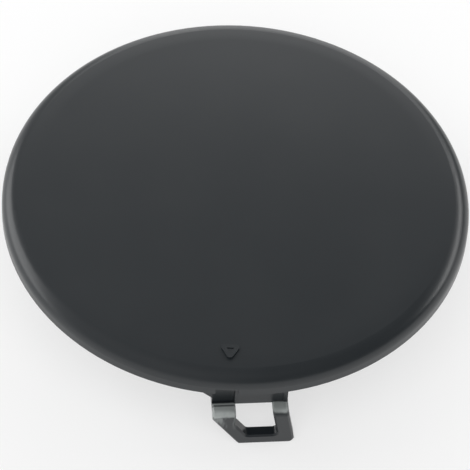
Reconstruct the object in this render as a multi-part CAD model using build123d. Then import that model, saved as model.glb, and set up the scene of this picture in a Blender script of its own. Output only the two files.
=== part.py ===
from build123d import *
import os
from math import sqrt

# Round tow hook cover for a car bumper, moulded in one piece of plastic.
# The cover stands on the tips of its loop and hooks with its face up. The origin is on the axis
# of the cap in the plane of those tips, +Z points out of the face, and the press mark and the
# spring loop are on the -Y side. Depths are measured back from the seat. Millimetres.

# Cap
cap_diameter = 65.0
crown_height = 0.8          # rise of the face over its whole width
edge_roll = 4.0             # width of the outer band of the face, which falls away from the crown
roll_drop = 0.15            # how far it has fallen at the cap's outside
edge_radius = 2.2           # rounding between that band and the rim
rim_depth = 3.35            # foot of the crown to the seat
rim_wall = 1.0              # width of the seat ring under the rim
panel_thickness = 1.8       # at the foot of the crown, over a flat underside

# The round hole in the bumper that the cover closes
rim_overlap = 2.5           # rim past the edge of the hole all round
flange_depth = 6.2          # thickness of the hole's edge, which the cover clips on to

# Press mark on the face
mark_side = 3.1             # side of its triangle before the corners are rounded
mark_corner = 0.45
mark_border = 0.6
mark_height = 0.3
mark_dish = 0.12            # sunken middle of the triangle below its border
mark_inset = 4.7            # middle of the triangle in from the cap's outside

# Collar and ribs behind the face
collar_clearance = 0.4      # collar inside the hole
collar_wall = 1.5
collar_depth = 3.2
rib_thickness = 1.2
rib_depth = 1.2

# Snap shoulders shared by the loop and the hooks
latch_clearance = 0.2       # shoulder behind the hole's edge
latch_hold = 1.0            # shoulder past the hole's edge
clip_depth = 13.75          # seat to the tips
crest_radius = 0.9

# Spring loop
loop_turn = 6.1             # degrees round the axis from -Y towards +X
loop_half_width = 5.15
loop_wall = 1.6
loop_root_wall = 2.4
loop_lead_in = 0.4          # tip further in than the crest
loop_bar = 1.85             # bar that closes the loop
loop_lean = 1.25            # right leg leans out by this much at its tip
left_leg = 3.2              # widths of the two legs at their shoulders
right_leg = 2.15
slant_leg = 1.95            # width of the left leg along its slant
slant_drop = 1.3            # where that slant starts below the shoulder
slant_width = 3.7           # and how far across the loop it goes
loop_corner = 0.8           # corners of the outline, but for its left foot
foot_corner = 0.4
window_corner = 0.6
loop_edge = 0.25            # chamfer of the loop's outer edges
gusset_width = 1.7          # flare at the root of the left leg
gusset_length = 1.7
left_recess = 0.45          # hollows over the shoulders, left by slides in the mould
right_recess = 0.15
hollow_inset = 0.15         # hollows in from the sides of the loop's window
left_hollow_rise = 1.0      # tops of the hollows: the left one above the seat, in the rim's lip,
right_hollow_drop = 0.2     # and the right one below it
right_strip = 0.6           # left between the right hollow and the end of the root

# Snap hooks on the far side
hook_turns = (140.0, 220.0)  # degrees round the axis from -Y
hook_width = 8.0
hook_wall = 1.8
hook_land = 0.8             # straight edge of the nose before its lead-in
hook_slot = 1.2             # relief slots beside each hook
hook_slot_run = 1.6         # how far a slot runs past both sides of the collar

# Places that follow from those sizes
cap_radius = cap_diameter / 2
lip_radius = cap_radius - rim_wall
opening_radius = cap_radius - rim_overlap
collar_radius = opening_radius - collar_clearance
crest_reach = opening_radius + latch_hold
crown_radius = (cap_radius**2 + crown_height**2) / (2 * crown_height)
seat_z = clip_depth
edge_z = seat_z + rim_depth
top_z = edge_z + crown_height
shoulder_z = seat_z - flange_depth - latch_clearance
under_z = edge_z - panel_thickness
root_z = under_z + panel_thickness / 2   # inside the panel at every radius
slant_length = shoulder_z - slant_drop
loop_neck = sqrt(collar_radius**2 - loop_half_width**2)
hook_neck = sqrt(collar_radius**2 - (hook_width / 2)**2)

# Sections of the clips are drawn outwards and up, in the plane through the axis and -Y
section_plane = Plane(origin=(0, 0, 0), x_dir=(0, -1, 0), z_dir=(-1, 0, 0))


def round_corner(sketch, corner, radius):
    """Round the corner of a flat outline that lies nearest to a place."""
    return fillet(sketch.vertices().sort_by_distance(corner)[0], radius)


def crown_z(radius):
    """Height of the crown at a radius."""
    return top_z - crown_radius + sqrt(crown_radius**2 - radius**2)


def cap_shell():
    """Crowned panel with its rolled and rounded edge and the rim that ends in the seat."""
    crown_reach = cap_radius - edge_roll
    crown = ThreePointArc(*[(r, crown_z(r)) for r in (0, crown_reach / 2, crown_reach)])
    corner = (cap_radius, edge_z - roll_drop)
    roll = TangentArc(crown @ 1, corner, tangent=crown % 1)
    inside = Polyline(
        corner,
        (cap_radius, seat_z),
        (lip_radius, seat_z),
        (lip_radius, under_z),
        (0, under_z),
        (0, top_z),
    )
    section = round_corner(make_face([crown, roll, inside]), corner, edge_radius)
    return revolve(Plane.XZ * section, Axis.Z)


def press_mark():
    """Raised triangle that points at the loop, with a sunken middle."""
    distance = cap_radius - mark_inset
    surface = crown_z(distance)
    outline = Triangle(a=mark_side, b=mark_side, c=mark_side)
    outline = Pos(0, -distance) * Rot(0, 0, 180) * Pos(*(-outline.center())) * outline
    middle = offset(outline, -mark_border, kind=Kind.INTERSECTION)
    outline = fillet(outline.vertices(), mark_corner)
    base = surface - panel_thickness / 2
    body = extrude(Pos(0, 0, base) * outline, surface + mark_height - base)
    dish = extrude(Pos(0, 0, surface + mark_height - mark_dish) * middle, panel_thickness)
    return body - dish


def ring(outer, wall, low, high):
    """Round wall about the axis."""
    section = Circle(outer) - Circle(outer - wall)
    return extrude(Pos(0, 0, low) * section, high - low)


def collar_and_ribs():
    """Collar that locates the cover in the hole, and the cross of ribs inside it."""
    collar = ring(collar_radius, collar_wall, seat_z - collar_depth, root_z)
    rib_low = seat_z - rib_depth
    span = 2 * collar_radius - collar_wall
    rib = extrude(Pos(0, 0, rib_low) * Rectangle(span, rib_thickness), root_z - rib_low)
    return collar + rib + Rot(0, 0, 90) * rib


def loop_section():
    """Cranked strip: down the neck, out over the shoulder and down to the tip."""
    neck_in = loop_neck - loop_root_wall
    tip = crest_reach - loop_lead_in
    bend = (crest_reach - loop_wall, shoulder_z - loop_wall)
    section = Polygon(
        (neck_in, root_z),
        (loop_neck, root_z),
        (loop_neck, shoulder_z),
        (crest_reach, shoulder_z),
        (tip, 0),
        (tip - loop_wall, 0),
        bend,
        (neck_in, shoulder_z - loop_wall),
        align=None,
    )
    section = round_corner(section, (crest_reach, shoulder_z), crest_radius)
    return round_corner(section, bend, loop_wall / 2)


def loop_outline():
    """The loop seen from outside: slanted left corner, leaning right leg, flared left root."""
    left = -loop_half_width
    right = loop_half_width
    gusset_z = seat_z - collar_depth
    outline = Polygon(
        (left - gusset_width, root_z),
        (left - gusset_width, gusset_z),
        (left, gusset_z - gusset_length),
        (left, slant_length),
        (left + slant_width, 0),
        (right + loop_lean, 0),
        (right, shoulder_z),
        (right, root_z),
        align=None,
    )
    outline = round_corner(outline, (right + loop_lean, 0), loop_corner)
    outline = round_corner(outline, (left, slant_length), loop_corner)
    return round_corner(outline, (left + slant_width, 0), foot_corner)


def loop_window():
    """Hole of the loop, which follows its outline."""
    left = -loop_half_width + left_leg
    right = loop_half_width - right_leg
    lean = loop_lean * (shoulder_z - loop_bar) / shoulder_z
    slant = slant_width / slant_length
    slant_top = slant_length - (left_leg - slant_leg * sqrt(1 + slant**2)) / slant
    corners = [
        (left, slant_top),
        (left + (slant_top - loop_bar) * slant, loop_bar),
        (right + lean, loop_bar),
    ]
    window = Polygon((left, shoulder_z), *corners, (right, shoulder_z), align=None)
    for corner in corners:
        window = round_corner(window, corner, window_corner)
    return window


def outer_edges(loop):
    """Sharp edges round the outside of the loop, over its shoulders and down to its tip."""
    clip = loop.faces().filter_by(lambda f: f.center().Z < shoulder_z + loop_edge)
    skin = clip.filter_by(lambda f: f.normal_at().Y < -0.5)
    skin += clip.filter_by(lambda f: f.normal_at().Z > 0.9).sort_by(Axis.Z)[-2:]
    edges = skin.edges()
    return edges.filter_by(lambda e: edges.count(e) == 1 and (e @ 0.5).Y < -loop_neck - loop_edge)


def slide_hollow(low_x, high_x, recess, top):
    """Hollow over one leg's shoulder, from the neck out past the rim."""
    size = (high_x - low_x, cap_radius, top - shoulder_z)
    block = Box(*size, align=(Align.MIN, Align.MAX, Align.MIN))
    return Pos(low_x, recess - loop_neck, shoulder_z) * block


def loop_hollows():
    """Hollows over both legs. The left one also cuts through the lip of the rim."""
    left = -loop_half_width
    right = loop_half_width
    left_end = left + left_leg - hollow_inset
    right_end = right - right_leg + hollow_inset
    hollows = slide_hollow(left, left_end, left_recess, seat_z + left_hollow_rise)
    right_start = right - right_strip
    return hollows + slide_hollow(right_end, right_start, right_recess, seat_z - right_hollow_drop)


def spring_loop():
    """Cranked loop with chamfered outer edges, on the -Y side."""
    strip = extrude(section_plane * loop_section(), cap_radius, both=True)
    loop = strip & extrude(Plane.XZ * loop_outline(), cap_radius)
    loop -= extrude(Plane.XZ * loop_window(), cap_radius)
    return chamfer(outer_edges(loop), loop_edge)


def snap_hook():
    """Hook on the -Y side: straight arm with a nose that latches behind the hole's edge."""
    arm_in = hook_neck - hook_wall
    section = Polygon(
        (arm_in, root_z),
        (hook_neck, root_z),
        (hook_neck, shoulder_z),
        (crest_reach, shoulder_z),
        (crest_reach, shoulder_z - hook_land),
        (hook_neck, 0),
        (arm_in, 0),
        align=None,
    )
    return extrude(section_plane * section, hook_width / 2, both=True)


def hook_slots():
    """Relief slots through the collar on both sides of a hook on the -Y side."""
    low = seat_z - collar_depth
    run = collar_wall + 2 * hook_slot_run
    slot = Box(hook_slot, run, root_z - low, align=(Align.CENTER, Align.MAX, Align.MIN))
    aside = (hook_width + hook_slot) / 2
    back = hook_slot_run + collar_wall - collar_radius
    return [Pos(x, back, low) * slot for x in (-aside, aside)]


def make_cover():
    """The whole moulding as one solid."""
    loop = Rot(0, 0, loop_turn) * spring_loop()
    hollows = Rot(0, 0, loop_turn) * loop_hollows()
    frame = collar_and_ribs()
    hooks = []
    for turn in hook_turns:
        for slot in hook_slots():
            frame -= Rot(0, 0, turn) * slot
        hooks.append(Rot(0, 0, turn) * snap_hook())
    cover = cap_shell() + frame + loop + hooks
    return cover - hollows + press_mark()


os.makedirs("parts", exist_ok=True)
cover = make_cover()
cover.label = "cover"
export_step(cover, "parts/cover.step")
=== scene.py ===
import math

import bpy
from mathutils import Matrix, Quaternion, Vector


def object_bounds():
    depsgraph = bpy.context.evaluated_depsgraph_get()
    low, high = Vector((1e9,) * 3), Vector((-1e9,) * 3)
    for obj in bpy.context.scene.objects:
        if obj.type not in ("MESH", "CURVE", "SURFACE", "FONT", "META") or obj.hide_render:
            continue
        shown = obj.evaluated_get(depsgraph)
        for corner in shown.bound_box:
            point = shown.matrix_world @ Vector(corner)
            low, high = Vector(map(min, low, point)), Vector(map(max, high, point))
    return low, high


MM = 0.001

# Camera, found from the outline of the cover
PICTURE = 470                    # pixels across and down
CAMERA_DISTANCE = 500 * MM       # from the middle of the cap's edge
CAMERA_ELEVATION = 50.2          # degrees above the face
CAMERA_TURN = 1.1                # degrees from -Y towards -X
CAMERA_ROLL = 3.7                # degrees that the camera leans to its left
FOCAL_PIXELS = 3602
EDGE_AT = (236.3, 194.4)         # where the middle of the cap's edge comes in the picture
SENSOR = 36.0                    # millimetres

# Places on the cover, as the solid has them
AIM_Z = 16.65 * MM               # height that the camera's distance is measured to
LOOP_TURN = 6.1                  # degrees round the axis, from -Y towards +X
NECK = 29.15 * MM                # outside of the loop's neck, out from the axis
CREASE = 29.4 * MM               # crease across the left shoulder, where painted shade is drawn
SHOULDER_Z = 7.35 * MM           # tops of the shoulders
LEFT_LEG_END = -1.95 * MM        # inner side of the left leg, across the loop

# Colours of the plastic, of the paler marks drawn on its loop, and of the floor
SLATE = (0.0135, 0.0168, 0.0195, 1)
SLATE_PALE = (0.0145, 0.0178, 0.0204, 1)
# paler grey drawn over the tops of the loop's shoulders and in streaks down its left leg
PALE_MARK_GREY = (0.35, 0.375, 0.368, 1)
FLOOR_WHITE = (0.92, 0.92, 0.92, 1)

# Finish of the plastic
MOTTLE_SCALE = 90.0              # faint clouds in its colour and gloss, per metre
GRAIN_SCALE = 2600.0             # fine moulding grain, per metre
GRAIN_STRENGTH = 0.12
GRAIN_DEPTH = 0.02 * MM
GLOSS = (0.285, 0.305)           # least and most roughness
PLASTIC_IOR = 1.5

# Floor
FLOOR_SIZE = 12                  # metres
FLOOR_GAP = 0.02 * MM            # floor below the tips of the cover

# Light of the room, where 1 is white
ROOM_LEFT = 0.55                 # the room by itself, away from the panels
ROOM_RIGHT = 0.20
FLOOR_GLOW = 0.6                 # share of the floor's white that no shadow takes

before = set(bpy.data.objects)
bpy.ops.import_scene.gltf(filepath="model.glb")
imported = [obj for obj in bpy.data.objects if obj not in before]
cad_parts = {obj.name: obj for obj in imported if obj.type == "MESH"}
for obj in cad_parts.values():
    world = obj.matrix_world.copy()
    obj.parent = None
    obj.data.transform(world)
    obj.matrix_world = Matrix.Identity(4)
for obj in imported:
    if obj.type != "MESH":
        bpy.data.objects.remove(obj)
cad_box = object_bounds()
low = cad_box[0]
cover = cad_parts["cover"]


def new_material(name):
    """Node material with its nodes, links and shader."""
    material = bpy.data.materials.new(name)
    material.use_nodes = True
    tree = material.node_tree
    return material, tree.nodes, tree.links, tree.nodes["Principled BSDF"]


def math_node(nodes, links, operation, first, second=None, clamp=False):
    """Math node whose inputs are numbers or sockets, returned as its output."""
    node = nodes.new("ShaderNodeMath")
    node.operation = operation
    node.use_clamp = clamp
    for socket, value in zip(node.inputs, (first, second)):
        if value is None:
            continue
        if isinstance(value, (int, float)):
            socket.default_value = value
        else:
            links.new(value, socket)
    return node.outputs[0]


def ramp(nodes, links, value, start, end):
    """Smooth step of a socket from 0 at start to 1 at end."""
    node = nodes.new("ShaderNodeMapRange")
    node.interpolation_type = "SMOOTHSTEP"
    node.inputs["From Min"].default_value = min(start, end)
    node.inputs["From Max"].default_value = max(start, end)
    node.inputs["To Min"].default_value = 0.0 if start < end else 1.0
    node.inputs["To Max"].default_value = 1.0 if start < end else 0.0
    links.new(value, node.inputs["Value"])
    return node.outputs[0]


def spread(nodes, links, value, least, most):
    """A socket from 0 to 1, spread over a range."""
    node = nodes.new("ShaderNodeMapRange")
    node.inputs["To Min"].default_value = least
    node.inputs["To Max"].default_value = most
    links.new(value, node.inputs["Value"])
    return node.outputs[0]


def noise(nodes, links, vector, scale, detail=4.0, roughness=0.55):
    """Noise texture on a vector socket, returned as its factor."""
    node = nodes.new("ShaderNodeTexNoise")
    node.inputs["Scale"].default_value = scale
    node.inputs["Detail"].default_value = detail
    node.inputs["Roughness"].default_value = roughness
    links.new(vector, node.inputs["Vector"])
    return node.outputs["Fac"]


def mapped(nodes, links, vector, turn=0.0, scale=(1, 1, 1)):
    """Vector turned about the axis of the cap and stretched."""
    node = nodes.new("ShaderNodeMapping")
    node.vector_type = "TEXTURE"
    node.inputs["Rotation"].default_value = (0, 0, math.radians(turn))
    node.inputs["Scale"].default_value = scale
    links.new(vector, node.inputs["Vector"])
    return node.outputs[0]


def mix_colour(nodes, links, factor, first, second):
    """Blend of two colours, or of sockets, by a factor socket."""
    node = nodes.new("ShaderNodeMix")
    node.data_type = "RGBA"
    links.new(factor, node.inputs["Factor"])
    ends = [socket for socket in node.inputs if socket.type == "RGBA"]
    for socket, value in zip(ends, (first, second)):
        if isinstance(value, tuple):
            socket.default_value = value
        else:
            links.new(value, socket)
    return next(socket for socket in node.outputs if socket.type == "RGBA")


def pale_marks(nodes, links, place):
    """How much paler the plastic is drawn: over the tops of the shoulders and in streaks down the left
    leg, held back along the left shoulder's crease as painted shade.
    """
    loop_place = nodes.new("ShaderNodeSeparateXYZ")
    links.new(mapped(nodes, links, place, LOOP_TURN), loop_place.inputs[0])
    across = loop_place.outputs["X"]
    outward = math_node(nodes, links, "MULTIPLY", loop_place.outputs["Y"], -1.0)
    up = loop_place.outputs["Z"]
    streaks = noise(nodes, links, mapped(nodes, links, place, 0, (1, 1, 4)), 900.0, 3.0)
    patches = noise(nodes, links, place, 420.0, 4.0)

    on_left_leg = ramp(nodes, links, across, LEFT_LEG_END + 0.3 * MM, LEFT_LEG_END - 0.1 * MM)
    past_neck = ramp(nodes, links, outward, NECK - 0.3 * MM, NECK + 0.05 * MM)
    below = ramp(nodes, links, up, SHOULDER_Z + 0.12 * MM, SHOULDER_Z)
    raised = math_node(nodes, links, "ADD", up, spread(nodes, links, on_left_leg, 0.0, 0.4 * MM))
    raised = math_node(nodes, links, "ADD", raised, spread(nodes, links, patches, -0.3 * MM, 0.3 * MM))
    near_shoulder_top = ramp(nodes, links, raised, SHOULDER_Z - 0.5 * MM, SHOULDER_Z - 0.05 * MM)
    # painted shade: a dark line drawn along the crease across the left shoulder
    off_crease = math_node(nodes, links, "SUBTRACT", outward, CREASE)
    off_crease = math_node(nodes, links, "ABSOLUTE", off_crease)
    crease_shade = ramp(nodes, links, off_crease, 0.22 * MM, 0.08 * MM)
    crease_shade = math_node(nodes, links, "MULTIPLY", crease_shade, on_left_leg)
    # paler over the top half-millimetre of each shoulder, in patches
    shoulder_band = math_node(nodes, links, "MULTIPLY", past_neck, below)
    shoulder_band = math_node(nodes, links, "MULTIPLY", shoulder_band, near_shoulder_top)
    shoulder_band = math_node(nodes, links, "MULTIPLY", shoulder_band, spread(nodes, links, patches, 0.45, 1.35))
    # painted shade: the pale band is held back to a quarter along the crease
    shoulder_band = math_node(nodes, links, "MULTIPLY", shoulder_band, spread(nodes, links, crease_shade, 1.0, 0.25))

    down_leg = ramp(nodes, links, up, SHOULDER_Z - 4.2 * MM, SHOULDER_Z - 1.0 * MM)
    leg = math_node(nodes, links, "MULTIPLY", on_left_leg, down_leg)
    leg = math_node(nodes, links, "MULTIPLY", leg, past_neck)
    leg = math_node(nodes, links, "MULTIPLY", leg, below)
    leg = math_node(nodes, links, "MULTIPLY", leg, ramp(nodes, links, streaks, 0.48, 0.66))
    leg = math_node(nodes, links, "MULTIPLY", leg, 0.5)
    return math_node(nodes, links, "MAXIMUM", shoulder_band, leg, clamp=True)


def slate_plastic():
    """Satin slate-grey plastic, drawn paler over the loop's shoulder tops and in streaks down its left
    leg.
    """
    material, nodes, links, shader = new_material("slate_plastic")
    place = nodes.new("ShaderNodeTexCoord").outputs["Object"]
    mottle = noise(nodes, links, place, MOTTLE_SCALE)
    colour = mix_colour(nodes, links, ramp(nodes, links, mottle, 0.35, 0.7), SLATE, SLATE_PALE)
    # paler grey over the shoulder tops and down the left leg, with painted shade along the left shoulder's
    # crease
    colour = mix_colour(nodes, links, pale_marks(nodes, links, place), colour, PALE_MARK_GREY)
    links.new(colour, shader.inputs["Base Color"])

    sheen = ramp(nodes, links, mottle, 0.3, 0.75)
    links.new(spread(nodes, links, sheen, *GLOSS), shader.inputs["Roughness"])
    grain = noise(nodes, links, place, GRAIN_SCALE, 3.0)
    bump = nodes.new("ShaderNodeBump")
    bump.inputs["Strength"].default_value = GRAIN_STRENGTH
    bump.inputs["Distance"].default_value = GRAIN_DEPTH
    links.new(grain, bump.inputs["Height"])
    links.new(bump.outputs[0], shader.inputs["Normal"])
    shader.inputs["IOR"].default_value = PLASTIC_IOR
    return material


def pale_floor():
    """White floor that takes the shadow of the cover."""
    bpy.ops.mesh.primitive_plane_add(size=FLOOR_SIZE, location=(0, 0, 0))
    floor = bpy.context.object
    floor.name = "floor"
    floor.data.transform(Matrix.Translation((0, 0, low.z - FLOOR_GAP)))
    material, nodes, links, shader = new_material("floor_white")
    shader.inputs["Base Color"].default_value = FLOOR_WHITE
    shader.inputs["Roughness"].default_value = 1.0
    shader.inputs["Specular IOR Level"].default_value = 0.0
    glow = nodes.new("ShaderNodeEmission")
    path = nodes.new("ShaderNodeLightPath")
    seen = math_node(nodes, links, "MAXIMUM", path.outputs["Is Camera Ray"], path.outputs["Is Glossy Ray"])
    seen = math_node(nodes, links, "MAXIMUM", seen, path.outputs["Is Transmission Ray"])
    blend = nodes.new("ShaderNodeMixShader")
    links.new(math_node(nodes, links, "MULTIPLY", seen, FLOOR_GLOW), blend.inputs[0])
    links.new(shader.outputs[0], blend.inputs[1])
    links.new(glow.outputs[0], blend.inputs[2])
    links.new(blend.outputs[0], nodes["Material Output"].inputs["Surface"])
    floor.data.materials.append(material)


def add_camera():
    """Camera at the fitted place, aimed so that the cap's edge comes where the photograph has it."""
    elevation = math.radians(CAMERA_ELEVATION)
    turn = math.radians(CAMERA_TURN)
    back = Vector((
        -math.sin(turn) * math.cos(elevation),
        -math.cos(turn) * math.cos(elevation),
        math.sin(elevation),
    ))
    level_right = Vector((math.cos(turn), -math.sin(turn), 0))
    level_up = back.cross(level_right)
    roll = math.radians(CAMERA_ROLL)
    right = math.cos(roll) * level_right + math.sin(roll) * level_up
    up = back.cross(right)
    edge_middle = Vector((0, 0, low.z + AIM_Z))
    per_pixel = CAMERA_DISTANCE / FOCAL_PIXELS
    aim = edge_middle - right * (EDGE_AT[0] - PICTURE / 2) * per_pixel
    aim += up * (EDGE_AT[1] - PICTURE / 2) * per_pixel

    place = edge_middle + back * CAMERA_DISTANCE
    back = (place - aim).normalized()
    right = (right - back * right.dot(back)).normalized()
    up = back.cross(right)

    data = bpy.data.cameras.new("camera")
    data.sensor_width = SENSOR
    data.lens = FOCAL_PIXELS / PICTURE * SENSOR
    data.clip_start = 0.01
    data.clip_end = 50
    camera = bpy.data.objects.new("camera", data)
    bpy.context.scene.collection.objects.link(camera)
    turned = Matrix((right, up, back)).transposed().to_4x4()
    camera.matrix_world = Matrix.Translation(place) @ turned
    bpy.context.scene.camera = camera


def add_panel(name, azimuth, elevation, width, height, level, lean=0.0, distance=1.0):
    """Soft light panel that faces the cover, turned in its own plane by its lean.

    Azimuth is from +Y towards +X, angles are degrees, lengths metres, and a level of 1 is white.
    """
    a, e = math.radians(azimuth), math.radians(elevation)
    towards = Vector((math.sin(a) * math.cos(e), math.cos(a) * math.cos(e), math.sin(e)))
    data = bpy.data.lights.new(name, "AREA")
    data.shape = "RECTANGLE"
    data.size = width
    data.size_y = height
    data.energy = level * 4 * width * height
    panel = bpy.data.objects.new(name, data)
    panel.location = towards * distance
    panel.rotation_mode = "QUATERNION"
    facing = towards.to_track_quat("Z", "Y")
    panel.rotation_quaternion = facing @ Quaternion((0, 0, 1), math.radians(lean))
    bpy.context.scene.collection.objects.link(panel)
    return panel


def studio_world():
    """White to the camera, and for the cover a dim room, lighter on its left."""
    world = bpy.data.worlds.new("studio")
    bpy.context.scene.world = world
    world.use_nodes = True
    nodes, links = world.node_tree.nodes, world.node_tree.links
    direction = nodes.new("ShaderNodeSeparateXYZ")
    links.new(nodes.new("ShaderNodeTexCoord").outputs["Generated"], direction.inputs[0])
    to_right = ramp(nodes, links, direction.outputs["X"], -0.35, 0.3)
    strength = spread(nodes, links, to_right, ROOM_LEFT, ROOM_RIGHT)
    seen = nodes.new("ShaderNodeLightPath").outputs["Is Camera Ray"]
    background = nodes["Background"]
    background.inputs["Color"].default_value = (1, 1, 1, 1)
    links.new(math_node(nodes, links, "MAXIMUM", strength, seen), background.inputs["Strength"])


def studio_panels():
    """Soft panels that the cover mirrors, and a fill from the camera's side that it doesn't."""
    add_panel("panel_far", 5, 22, 0.66, 0.76, 1.4)
    add_panel("panel_left", -73, 11, 0.80, 1.25, 2.0, lean=35)
    add_panel("panel_right", 60, 27, 1.00, 0.26, 3.2, lean=22)
    fill = add_panel("fill", 180, 52, 1.4, 1.2, 1.6, distance=1.4)
    fill.visible_glossy = False


plastic = slate_plastic()
cover.data.materials.clear()
cover.data.materials.append(plastic)

pale_floor()
studio_world()
studio_panels()
add_camera()
bpy.context.scene.view_settings.view_transform = "Standard"
